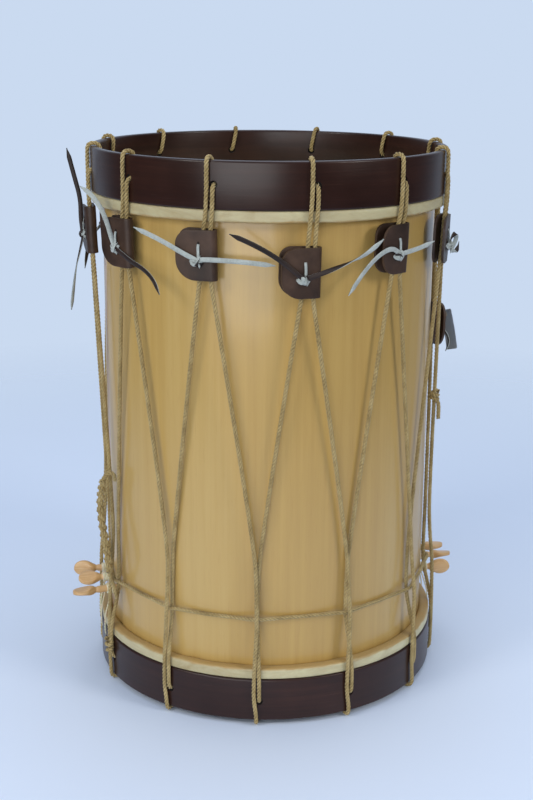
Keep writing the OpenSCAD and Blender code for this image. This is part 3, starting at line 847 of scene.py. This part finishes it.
# ---------------------------------------------------------------- rope
def rope_run(k):
    """One run of rope, as in the frame: out of a bottom hole, up through the tug, over the top
    hoop, out of its hole, down through the tug and to the next bottom lacing point."""
    top, foot = TOP_PHI + k * STEP, FOOT_PHI + k * STEP
    nxt, rim, half = foot + STEP, DRUM_H + ROPE_GAP + ROPE_R, TUG_H / 2
    up_side = on_route(foot, [
        (0, ROPE_IN, 6), (0.7, ROPE_IN, FOOT_HOLE_Z - 3.5), (0.86, ROPE_IN + 2.2, FOOT_HOLE_Z),
        (0.86, HOOP_R + 0.8, FOOT_HOLE_Z), (0.86, ROPE_OUT, FOOT_HOLE_Z + 4), (0.86, ROPE_OUT, 47),
        (0.7, ROPE_OUT - 0.6, 63), (0.3, 193.6, 98), (0, 190.3, WAIST_Z), (0.1, 190.3, 150),
        (0.6, 190.9, 194)])
    up_tug = [at_tug(k, -12.8, -half - 2), at_tug(k, -8.2, -half + 14), at_tug(k, -7.2, 4),
              at_tug(k, -7, half)]
    over = on_route(top, [
        (-1.4, 202.6, 548), (-0.9, ROPE_OUT, 570), (-0.86, ROPE_OUT, rim - 5),
        (-0.86, ROPE_OUT - 0.7, rim - 1.7), (-0.86, ROPE_OUT - 2.6, rim), (-0.8, ROPE_IN + 2.6, rim),
        (-0.7, ROPE_IN + 0.7, rim - 1.7), (-0.5, ROPE_IN, rim - 5), (0.7, ROPE_IN, TOP_HOLE_Z + 3.5),
        (0.86, ROPE_IN + 2.2, TOP_HOLE_Z), (0.86, HOOP_R + 0.8, TOP_HOLE_Z),
        (0.86, ROPE_OUT, TOP_HOLE_Z - 4), (0.8, ROPE_OUT, 562), (0.5, 202.6, 548)])
    down_tug = [at_tug(k, 0.4, half), at_tug(k, 0, 4), at_tug(k, 0, -half + 6), at_tug(k, 0.4, -half - 2),
                at_tug(k, 0.9, -half - 9), at_tug(k, 2.2, -half - 15)]
    under = ROPE_R - LIFT
    down_side = on_route(nxt, [
        (-0.7, 194.6, 194), (-0.2, 197.4, 150), (0, 201.4, WAIST_Z), (-0.1, 202.2, 98),
        (-0.6, ROPE_OUT - 0.3, 66), (-0.76, ROPE_OUT, 47), (-0.8, ROPE_OUT, 26), (0, ROPE_OUT, 8),
        (0, ROPE_OUT, 1), (0, ROPE_OUT - 1, under + 0.8), (0, ROPE_OUT - 3, under),
        (0, ROPE_IN + 3, under), (0, ROPE_IN + 1, under + 0.8), (0, ROPE_IN, 1), (0, ROPE_IN, 6.4)])
    return up_side + up_tug + over + down_tug + down_side


LAY = 13.0                               # length of one full turn of the rope's strands
ROPE_STEP = 1.5


def build_tension_rope():
    build = Builder()
    for k in range(POINTS):
        laid_strands(build, soften(rope_run(k)), ROPE_DRAWN, LAY, ROPE_STEP, phase=0.13 * k)
    finish_piece(build.object("tension_rope_laid"), ["rope"], "drum",
                        ["tension_rope", "rope_bottom_turns"])


WAIST_PULL_R = 196.0                     # where the waist rope crosses the pairs of strands


def waist_r(phi):
    """The waist rope runs straight from pair to pair, and bends where it meets the shell."""
    from_mid = abs((phi - FOOT_PHI + 720) % STEP - STEP / 2)
    near = SHELL_R + ROPE_R + 0.4
    return max(near, WAIST_PULL_R * math.cos(math.radians(STEP / 2)) / math.cos(math.radians(from_mid)))


def build_waist_rope():
    phis = np.linspace(FOOT_PHI, FOOT_PHI + 360, 361)
    path = np.array([on_drum(p, waist_r(p), WAIST_Z + 0.5 * math.sin(math.radians(p * 5)))
                     for p in phis])
    build = Builder()
    laid_strands(build, path, ROPE_DRAWN * 0.92, LAY, ROPE_STEP, closed=True)
    finish_piece(build.object("waist_rope_laid"), ["rope"], "drum", ["waist_rope"])


CHAIN_R = 208.5
CHAIN_ROUTE = [(-61.8, CHAIN_R, 243), (-65.4, CHAIN_R, 214), (-63.8, CHAIN_R, 188),
               (-60.4, CHAIN_R, 163), (-58.6, CHAIN_R, 136)]
CHAIN_LUMPS = 8
SPARE_R = ROPE_R * 0.92                  # the spare rope, which nothing pulls thinner
# the chain's two ends, tucked in beside the strands that it hangs from
CHAIN_TAILS = [[(-62.2, CHAIN_R, 236), (-62.0, 208.0, 245), (-61.2, 204.5, 251), (-60.6, 199.5, 252),
                (-60.9, 196.0, 247), (-61.8, 194.5, 240)],
               [(-58.7, CHAIN_R, 142), (-59.0, 208.0, 132), (-59.8, 205.0, 125), (-60.3, 202.0, 117),
                (-60.4, 199.5, 108), (-60.6, 197.0, 99)]]


def build_chain():
    """The spare rope, plaited into a chain of loops."""
    line, run = even(soften(on_route(0, CHAIN_ROUTE)), 1.2)
    d = directions(line)
    out = radial(CHAIN_ROUTE[2][0])
    out = unit(out - d * (d @ out)[:, None])
    side = np.cross(d, out)
    build = Builder()
    for s in range(3):
        w = math.pi * CHAIN_LUMPS * run / run[-1] + 2 * math.pi * s / 3
        taper = np.minimum(1, 0.35 + 0.65 * np.minimum(run, run[-1] - run) / 14)
        path = line + (4.0 * taper * np.sin(w))[:, None] * side + (2.6 * np.sin(2 * w))[:, None] * out
        laid_strands(build, path, SPARE_R, LAY, 1.6, phase=0.2 * s)
    for route in CHAIN_TAILS:
        laid_strands(build, soften(on_route(0, route)), SPARE_R, LAY, 1.6)
    finish_piece(build.object("surplus_rope_plait"), ["rope"], "drum",
                        ["surplus_rope_chain"])


KNOT_PLACE = (80.2, 195.6, 326)


def build_rope_knot():
    """A stopper knot: two wraps round the standing rope, then a short tail."""
    phi, r, z = KNOT_PLACE
    centre = on_drum(phi, r, z)
    w = np.linspace(0, 4.4 * math.pi, 90)
    rise = np.linspace(5.2, -5.2, 90) + 1.4 * np.sin(2 * w)
    loops = centre + around(w, radial(phi), sideways(phi), 4.4) + rise[:, None] * UP
    tail = on_route(phi, [(0.3, 200.6, 318), (0.4, 201, 309), (0.6, 201, 298)])
    build = Builder()
    laid_strands(build, soften(np.vstack([loops, tail]), 2), ROPE_R * 0.9, LAY, 1.4)
    finish_piece(build.object("rope_join_knot"), ["rope"], "drum", ["rope_knot"])


def build_foot_wraps():
    """The extra turns round the pair above one bottom hole, where the spare end is made fast."""
    phi = FOOT_PHI - 2 * STEP
    w = np.linspace(0, 4 * math.pi, 80)
    z = np.linspace(33, 46, 80)
    path = on_drum(phi, 204.6, 0) + z[:, None] * UP + around(w, radial(phi), sideways(phi), 3.2, 7.0)
    build = Builder()
    laid_strands(build, path, ROPE_R * 0.85, LAY, 1.6)
    finish_piece(build.object("rope_foot_wraps"), ["rope"], "drum")


# ---------------------------------------------------------------- tugs
def flap_span(t, low_round, high_round, left):
    """Lowest and highest point of a flap at t, with its two rounded corners at the free end."""
    low, high = -TUG_H / 2, TUG_H / 2
    near = left + low_round - t
    if near > 0:
        low += low_round - math.sqrt(max(low_round ** 2 - near ** 2, 0))
    near = left + high_round - t
    if near > 0:
        high -= high_round - math.sqrt(max(high_round ** 2 - near ** 2, 0))
    return low, high


def flap_face(splay):
    """How far out the outer flap's face lies where the lace comes through it."""
    return TUG_OUT + splay * (FOLD_T - KNOT_T) / (FOLD_T - TUG_LEFT)


def build_tug(k):
    """A folded piece of leather with worn edges. Returns how far its outer flap stands open."""
    rnd = np.random.default_rng(100 + k)
    mid = TUG_IN + TUG_T / 2
    splay = SPLAY + rnd.uniform(-0.5, 0.9)
    columns = []
    ease = (1 - np.cos(np.linspace(0, math.pi / 2, 15))) ** 0.9
    for f in ease:
        t = TUG_LEFT + (FOLD_T - TUG_LEFT) * f
        columns.append((mid + splay * (1 - f), t, *flap_span(t, LOW_ROUND, HIGH_ROUND, TUG_LEFT)))
    for a in np.linspace(0, math.pi, 13)[1:-1]:
        low, high = flap_span(FOLD_T, LOW_ROUND, HIGH_ROUND, TUG_LEFT)
        columns.append((mid * math.cos(a), FOLD_T + mid * math.sin(a), low, high))
    for f in ease[::-1]:
        t = TUG_LEFT + (FOLD_T - TUG_LEFT) * f
        low, high = flap_span(t, LOW_ROUND - 2, HIGH_ROUND - 3, TUG_LEFT)
        columns.append((-mid, t, low + 0.3, high + 0.6 * (1 - f)))
    rows = 19
    grid = []
    for n, t, low, high in columns:
        grid.append([(n + 0.25 * math.sin(0.11 * z + k), t, z)
                     for z in np.linspace(low, high, rows)])
    grid = in_tug(k, np.array(grid).reshape(-1, 3))
    quads = grid_faces(len(columns), rows, False, False)
    number = f"{k + 1:02d}"
    tug = mesh_object(f"tug_leather_{number}", grid, quads)
    thick = tug.modifiers.new("thickness", "SOLIDIFY")
    thick.thickness = TUG_T * MM
    thick.offset = 0
    thick.use_even_offset = True
    bevel = tug.modifiers.new("worn_edges", "BEVEL")
    bevel.width = 0.55 * MM
    bevel.segments = 3
    bevel.limit_method = "ANGLE"
    bevel.angle_limit = math.radians(50)
    apply_modifiers(tug)
    shade_by_angle(tug, 50)
    body = f"tuning_tug_{number}"
    finish_piece(tug, ["tug_leather"], body, [f"tug_{number}"])
    build_slits(k, number, splay, body)
    return splay


def build_slits(k, number, splay, body):
    """The two slits in the outer flap that the lace comes through, drawn as dark pads on the flap: painted
    shade for the openings.
    """
    build = Builder()
    face = flap_face(splay)
    across = np.array([0.0, 1.0, 0.0])
    for z in (KNOT_Z, KNOT_Z + SLIT_RISE):
        rings = [in_tug(k, [face + out, KNOT_T, z] + around(whole_turn(24), UP, across, 4.4 * size,
                                                            1.5 * size))
                 for size, out in ((1.0, -0.4), (1.0, 0.12), (0.62, 0.18), (0.05, 0.16))]
        build.add(np.array(rings), np.zeros((4, 24, 2)))
    finish_piece(build.object(f"tug_slits_{number}"), ["slit"], body)


# ---------------------------------------------------------------- laces
def strap_mesh(name, path, face, width, thick, side_turns, tip=10.0):
    """A flat thong with its grain side dark and its flesh side pale. side_turns gives the half
    turns at its two ends. Returns the piece and the middle line of its rings."""
    line, run = even(path, 2.0)
    d = directions(line)
    share = run / run[-1]
    base = unit(np.cross(d, face))
    normal = np.cross(base, d)
    ease = share * share * (3 - 2 * share)
    turn = math.pi * (side_turns[0] + (side_turns[1] - side_turns[0]) * ease)
    a, b = around(turn, base, normal), around(turn, normal, -base)
    w = width / 2 * np.clip((run[-1] - run) / tip, 0.14, 1.0) ** 0.8
    t = thick / 2 * np.clip((run[-1] - run) / tip + 0.5, 0.5, 1.0)
    section = [(1, 0.3), (0.86, 1), (0, 1.08), (-0.86, 1), (-1, 0.3),
               (-1, -0.3), (-0.86, -1), (0, -1.0), (0.86, -1), (1, -0.3)]
    rings = np.stack([line + (c * w)[:, None] * a + (h * t)[:, None] * b for c, h in section], 1)
    m = len(section)
    quads = grid_faces(len(line), m)
    uv = np.stack(np.broadcast_arrays(run[:, None] * MM, np.arange(m)[None, :] * 0.001), -1)
    caps = [list(range(m))[::-1], [(len(line) - 1) * m + i for i in range(m)]]
    ob = mesh_object(name, rings.reshape(-1, 3), quads, uv.reshape(-1, 2), caps)
    flesh = [int(i % m >= GRAIN_FACES) for i in range(len(quads))] + [1, 1]
    ob.data.polygons.foreach_set("material_index", flesh)
    return ob, line


def build_lace(k, splay):
    """Two free ends, the stitch between the slits, and the knot over them."""
    number = f"{k + 1:02d}"
    body = f"tuning_tug_{number}"
    out = tug_frame(k)[1]
    start = [KNOT_N, KNOT_T, KNOT_Z]
    for side, route, turns in (("left", LACE_LEFT[k], LACE_SIDE_LEFT[k]),
                               ("right", LACE_RIGHT[k], LACE_SIDE_RIGHT[k])):
        path = soften(in_tug(k, [start] + route))
        ob, line = strap_mesh(f"lace_{side}_{number}", path, out, LACE_W, LACE_T, turns)
        finish_piece(ob, ["lace_grain", "lace_flesh"], body)
    face = flap_face(splay)
    stitch = in_tug(k, [[face - 0.2, KNOT_T, KNOT_Z + SLIT_RISE + 1.5],
                        [face + 1.2, KNOT_T, KNOT_Z + SLIT_RISE - 1],
                        [face + 1.5, KNOT_T + 0.3, KNOT_Z + SLIT_RISE / 2],
                        [face + 1.6, KNOT_T + 0.2, KNOT_Z + 1]])
    ob, _ = strap_mesh(f"lace_stitch_{number}", soften(stitch, 2), out, LACE_W * 0.56, LACE_T,
                       (1, 1), tip=2.5)
    finish_piece(ob, ["lace_grain", "lace_flesh"], body)
    lace_knot(k, number, out, body)
    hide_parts(f"lace_{number}")


# Bands of the knot, as [outwards, to the right, up] from its middle.
KNOT_BANDS = [
    [[-1.6, -6.6, 1.0], [1.0, -5.0, -2.4], [2.4, -1.4, -2.6], [1.0, 2.8, 1.0], [-1.4, 5.4, 2.6]],
    [[-1.4, 4.6, -3.8], [1.4, 2.2, -2.0], [3.6, -1.2, 0.6], [1.6, -4.2, 1.6], [-1.0, -6.2, -0.6]],
    [[-1.6, 1.4, 4.6], [2.4, 2.0, 3.4], [4.4, 1.2, -0.4], [2.6, -0.2, -3.8], [-1.0, -1.0, -5.4]],
    [[-0.6, 0.6, -1.6], [1.6, 2.2, -3.2], [1.2, 2.8, -5.2], [0.4, 2.4, -6.8]]]
KNOT_WIDTHS = [1.0, 0.9, 0.75, 0.45]
# Which side each band shows, grain 0 or flesh 1, in the three looks that the knots take in turn.
KNOT_SIDES = [(1, 1, 0, 1), (1, 1, 1, 1), (1, 0, 1, 1)]


def lace_knot(k, number, out, body):
    """The flat knot: short bands crossed over each other, and a thin one that sticks out below."""
    middle = np.array([KNOT_N - 1.4, KNOT_T - 0.8, KNOT_Z - 0.5])
    for i, points in enumerate(KNOT_BANDS):
        path = soften(in_tug(k, middle + points), 2)
        ob, _ = strap_mesh(f"lace_knot_{number}_{i + 1}", path, out, LACE_W * KNOT_WIDTHS[i], LACE_T,
                           (KNOT_SIDES[k % 3][i], KNOT_SIDES[(k + 1) % 3][i]), tip=2.0)
        finish_piece(ob, ["lace_grain", "lace_flesh"], body)


TAG_W = 30.0
TAG_H = 48.0
TAG_T = 0.7
TAG_BOW = 0.7                            # how far the card's middle curves out of its plane
TAG_AT = Vector((25.5, 0, -10.5))        # its middle, in the frame of the tug that holds it
TAG_TURNS = (("Z", -85.0), ("X", 7.5), ("Y", -16.5))
TAG_TUG = 3


def build_tag():
    """A blank card tag that hangs from one lace."""
    bm = bmesh.new()
    outline = rounded_section(TAG_W / 2, -TAG_W / 2, -TAG_H / 2, TAG_H / 2, 2.5)
    bm.faces.new([bm.verts.new((x, 0, z)) for x, z in outline])
    mesh = bpy.data.meshes.new("hang_tag_card")
    turn = Matrix.Identity(3)
    for axis, degrees in TAG_TURNS:
        turn = turn @ Matrix.Rotation(math.radians(degrees), 3, axis)
    bmesh.ops.triangulate(bm, faces=bm.faces[:])
    bmesh.ops.subdivide_edges(bm, edges=bm.edges[:], cuts=3, use_grid_fill=True)
    for v in bm.verts:
        bow = TAG_BOW * math.sin((v.co.z / TAG_H + 0.5) * math.pi)
        local = turn @ Vector((v.co.x, v.co.y + bow, v.co.z)) + TAG_AT
        v.co = Vector(in_tug(TAG_TUG, [local])[0] * MM)
    bm.to_mesh(mesh)
    bm.free()
    ob = link_object("hang_tag_card", mesh)
    thick = ob.modifiers.new("thickness", "SOLIDIFY")
    thick.thickness = TAG_T * MM
    thick.offset = 0
    apply_modifiers(ob)
    shade_by_angle(ob, 40)
    finish_piece(ob, ["tag_card"], "tuning_tug_04", ["hang_tag"])
    eye = Builder()
    centre = turn @ Vector((0, 0.3, TAG_H / 2 - 5)) + TAG_AT
    ring = np.array(centre) + around(whole_turn(28), np.array(turn.col[0]), np.array(turn.col[2]), 2.0)
    eye.tube(in_tug(TAG_TUG, ring), 0.65, 8, closed=True)
    finish_piece(eye.object("hang_tag_eyelet"), ["gut"], "tuning_tug_04")


# ---------------------------------------------------------------- pegs and snares
PEG_TIP = 232.0
PADDLE_TURN = {"left": [90, 55, 0], "right": [0, 80, 90]}
GUT_R = 0.9
WIND_FROM = 190.6                        # where the winding starts on the peg, from the drum's axis
WIND_STEP = 1.75
WIND_TURNS = 4.6


def build_peg(side, i):
    """A turned friction peg: tapered shaft, neck, bulb and flat paddle."""
    phi = peg_phi(side, i)
    out, across = radial(phi), sideways(phi)
    turn = math.radians(PADDLE_TURN[side][i - 1])
    flat = across * math.cos(turn) + UP * math.sin(turn)
    wide = -across * math.sin(turn) + UP * math.cos(turn)
    # distance from the axis, half width, half thickness
    rows = [(163.0, 2.6, 2.6), (163.4, 3.3, 3.3), (164.5, 3.45, 3.45), (185, 3.85, 3.85),
            (197, PEG_BORE_R, PEG_BORE_R), (202.2, 4.2, 4.2), (203.4, 3.9, 3.9), (204.6, 3.45, 3.45),
            (205.6, 3.5, 3.5), (206.6, 4.0, 4.0), (208, 4.7, 4.6), (209.6, 5.3, 5.15),
            (211.2, 6.3, 5.35), (213, 7.5, 5.1), (215, 8.6, 4.5), (217.2, 9.4, 3.8),
            (219.6, 9.8, 3.3), (222.2, 9.7, 3.0), (225, 9.1, 2.85), (227.6, 7.9, 2.75),
            (229.6, 6.3, 2.7), (230.9, 4.5, 2.6), (231.7, 2.8, 2.5), (PEG_TIP, 1.2, 2.4),
            (PEG_TIP, 0.3, 2.0)]
    sides = 24
    w = whole_turn(sides)
    centre = on_drum(phi, 0, peg_high(side, i))
    rings, uv = [], []
    for r, a, b in rows:
        square = 1.0 if abs(a - b) < 0.1 else 0.82
        ca = np.sign(np.cos(w)) * np.abs(np.cos(w)) ** square
        sb = np.sign(np.sin(w)) * np.abs(np.sin(w)) ** square
        middle = centre + out * (r + PEG_PUSH[side][i - 1])
        rings.append(middle + (a * ca)[:, None] * wide + (b * sb)[:, None] * flat)
        uv.append(np.stack([np.full(sides, r * MM), w / (2 * math.pi) * 0.03], 1))
    build = Builder()
    build.add(np.array(rings), np.array(uv))
    peg = build.object(f"peg_turned_{side}_{i}")
    sub = peg.modifiers.new("smooth", "SUBSURF")
    sub.levels = sub.render_levels = 1
    apply_modifiers(peg)
    body = f"snare_peg_{side}_{i}"
    finish_piece(peg, ["peg_wood"], body, [f"peg_{side}_{i}"])
    w = np.linspace(0, 2 * math.pi * WIND_TURNS, 150)
    at = WIND_FROM + WIND_STEP * w / (2 * math.pi)
    r = PEG_BORE_R + 1.05 + 0.25 * np.sin(w * 0.37)
    wind = Builder()
    wind.tube(centre + at[:, None] * out + around(w, across, UP, r), GUT_R, 8)
    finish_piece(wind.object(f"gut_winding_{side}_{i}"), ["gut"], body,
                 [f"peg_winding_{side}_{i}"])


def snare_side(side, i):
    """Half of a snare: down from its peg, over the flesh hoop, in through the hoop to the skin."""
    high = peg_high(side, i)
    r = HOOP_R + 1.4
    under = SHELL_LOW - SKIN_T - GUT_R
    return on_route(peg_phi(side, i), [
        (0, 192.5, high - 6.4), (0, 195.6, high - 15), (0, 200.2, HOOP_H + FLESH_H + 4),
        (0, r - 0.2, HOOP_H + FLESH_H - 2), (0, r, HOOP_H - 4), (0, r - 0.4, SNARE_HOLE_Z + 2),
        (0, HOOP_R - 2, SNARE_HOLE_Z), (0, HOOP_IN - 2, SNARE_HOLE_Z), (0, HOOP_IN - 14, under),
        (0, 150, under)])


def build_snares():
    for i in (1, 2, 3):
        path = soften(snare_side("left", i) + snare_side("right", i)[::-1])
        build = Builder()
        laid_strands(build, path, 0.95, 7.0, 1.8, strands=2)
        finish_piece(build.object(f"gut_snare_strand_{i}"), ["gut"], "drum",
                     [f"gut_snare_{i}"])


# ---------------------------------------------------------------- stage, light and camera
# The camera as fitted to the drum's rims: its place above the bottom hoop's edge, and how far it
# looks down, to the right, and leans over, in radians.
CAMERA_AT = (-8.25, -1531.2, 740.1)
CAMERA_DOWN = 0.274
CAMERA_RIGHT = 0.005
CAMERA_LEAN = 0.008
CAMERA_LENS = 60.68                      # on a sensor 36 mm wide


def build_camera():
    data = bpy.data.cameras.new("camera")
    cam = link_object("camera", data)
    bpy.context.scene.camera = cam
    data.sensor_width = 36.0
    data.lens = CAMERA_LENS
    level = math.cos(CAMERA_DOWN)
    forward = Vector((math.sin(CAMERA_RIGHT) * level, math.cos(CAMERA_RIGHT) * level,
                      -math.sin(CAMERA_DOWN)))
    right = Vector((math.cos(CAMERA_RIGHT), -math.sin(CAMERA_RIGHT), 0.0))
    up = right.cross(forward)
    leant_right = math.cos(CAMERA_LEAN) * right + math.sin(CAMERA_LEAN) * up
    leant_up = -math.sin(CAMERA_LEAN) * right + math.cos(CAMERA_LEAN) * up
    turn = Matrix((leant_right, leant_up, -forward)).transposed().to_4x4()
    place = (Vector(CAMERA_AT) + Vector((0, 0, LIFT))) * MM
    cam.matrix_world = Matrix.Translation(place) @ turn


def area_light(name, place, aim, size, power, colour):
    data = bpy.data.lights.new(name, "AREA")
    data.shape = "RECTANGLE"
    data.size, data.size_y = size
    data.energy = power
    data.color = colour
    lamp = link_object(name, data)
    lamp.location = place
    lamp.rotation_euler = (Vector(aim) - Vector(place)).to_track_quat("-Z", "Y").to_euler()


def build_world():
    """An even pale backdrop, whose light comes from behind the drum and from above."""
    world = bpy.data.worlds.new("studio")
    bpy.context.scene.world = world
    world.use_nodes = True
    tree = world.node_tree
    tree.nodes.clear()
    link = tree.links.new

    def spread(value, low, high, out_low, out_high):
        node = tree.nodes.new("ShaderNodeMapRange")
        node.interpolation_type = "SMOOTHSTEP"
        link(value, node.inputs[0])
        for i, v in enumerate((low, high, out_low, out_high)):
            node.inputs[i + 1].default_value = v
        return node.outputs[0]

    coord = tree.nodes.new("ShaderNodeTexCoord")
    split = tree.nodes.new("ShaderNodeSeparateXYZ")
    link(coord.outputs["Generated"], split.inputs[0])
    behind = spread(split.outputs[1], 0.3, 0.95, 0.08, 1.0)
    above = spread(split.outputs[2], 0.3, 0.9, 0.0, 0.9)
    most = tree.nodes.new("ShaderNodeMath")
    most.operation = "MAXIMUM"
    link(behind, most.inputs[0])
    link(above, most.inputs[1])
    rays = tree.nodes.new("ShaderNodeLightPath")
    strength = tree.nodes.new("ShaderNodeMix")
    link(rays.outputs["Is Camera Ray"], strength.inputs[0])
    link(most.outputs[0], strength.inputs[2])
    strength.inputs[3].default_value = 1.0
    sky = tree.nodes.new("ShaderNodeBackground")
    sky.inputs["Color"].default_value = srgb((202, 218, 240))
    link(strength.outputs[0], sky.inputs["Strength"])
    out = tree.nodes.new("ShaderNodeOutputWorld")
    link(sky.outputs[0], out.inputs["Surface"])


FLOOR_HALF = 9000.0


def build_stage():
    corners = np.array([[-1, -1, 0], [1, -1, 0], [1, 1, 0], [-1, 1, 0]]) * FLOOR_HALF
    floor = mesh_object("floor", corners, [[0, 1, 2, 3]], smooth=False)
    floor.data.materials.append(floor_material())
    build_world()
    area_light("window_front", (-0.85, -3.0, 0.8), (0, 0, 0.35), (2.2, 1.5), 42, (0.96, 0.98, 1.0))
    area_light("key_left", (-1.7, -1.5, 1.7), (0, 0, 0.3), (0.7, 0.7), 17, (1.0, 0.97, 0.92))
    area_light("fill_right", (1.9, -1.3, 1.5), (0, 0, 0.3), (0.7, 0.7), 17, (1.0, 0.97, 0.93))
    area_light("top_soft", (0.2, 0.6, 2.6), (0, 0, 0.2), (1.6, 1.6), 12, (0.96, 0.98, 1.0))
    bpy.context.scene.view_settings.view_transform = "Standard"


# ---------------------------------------------------------------- build
build_camera()
build_stage()
build_shell()
vent_grommet()
build_hoops()
build_head("batter_skin", "batter_head_skin", SHELL_HIGH, 1, 1.7)
build_head("resonant_skin", "resonant_head_skin", SHELL_LOW, -1, 6.3)
build_tension_rope()
build_waist_rope()
build_chain()
build_rope_knot()
build_foot_wraps()
for tug in range(POINTS):
    build_lace(tug, build_tug(tug))
build_tag()
for side_name in PEG_MID:
    for number in (1, 2, 3):
        build_peg(side_name, number)
build_snares()
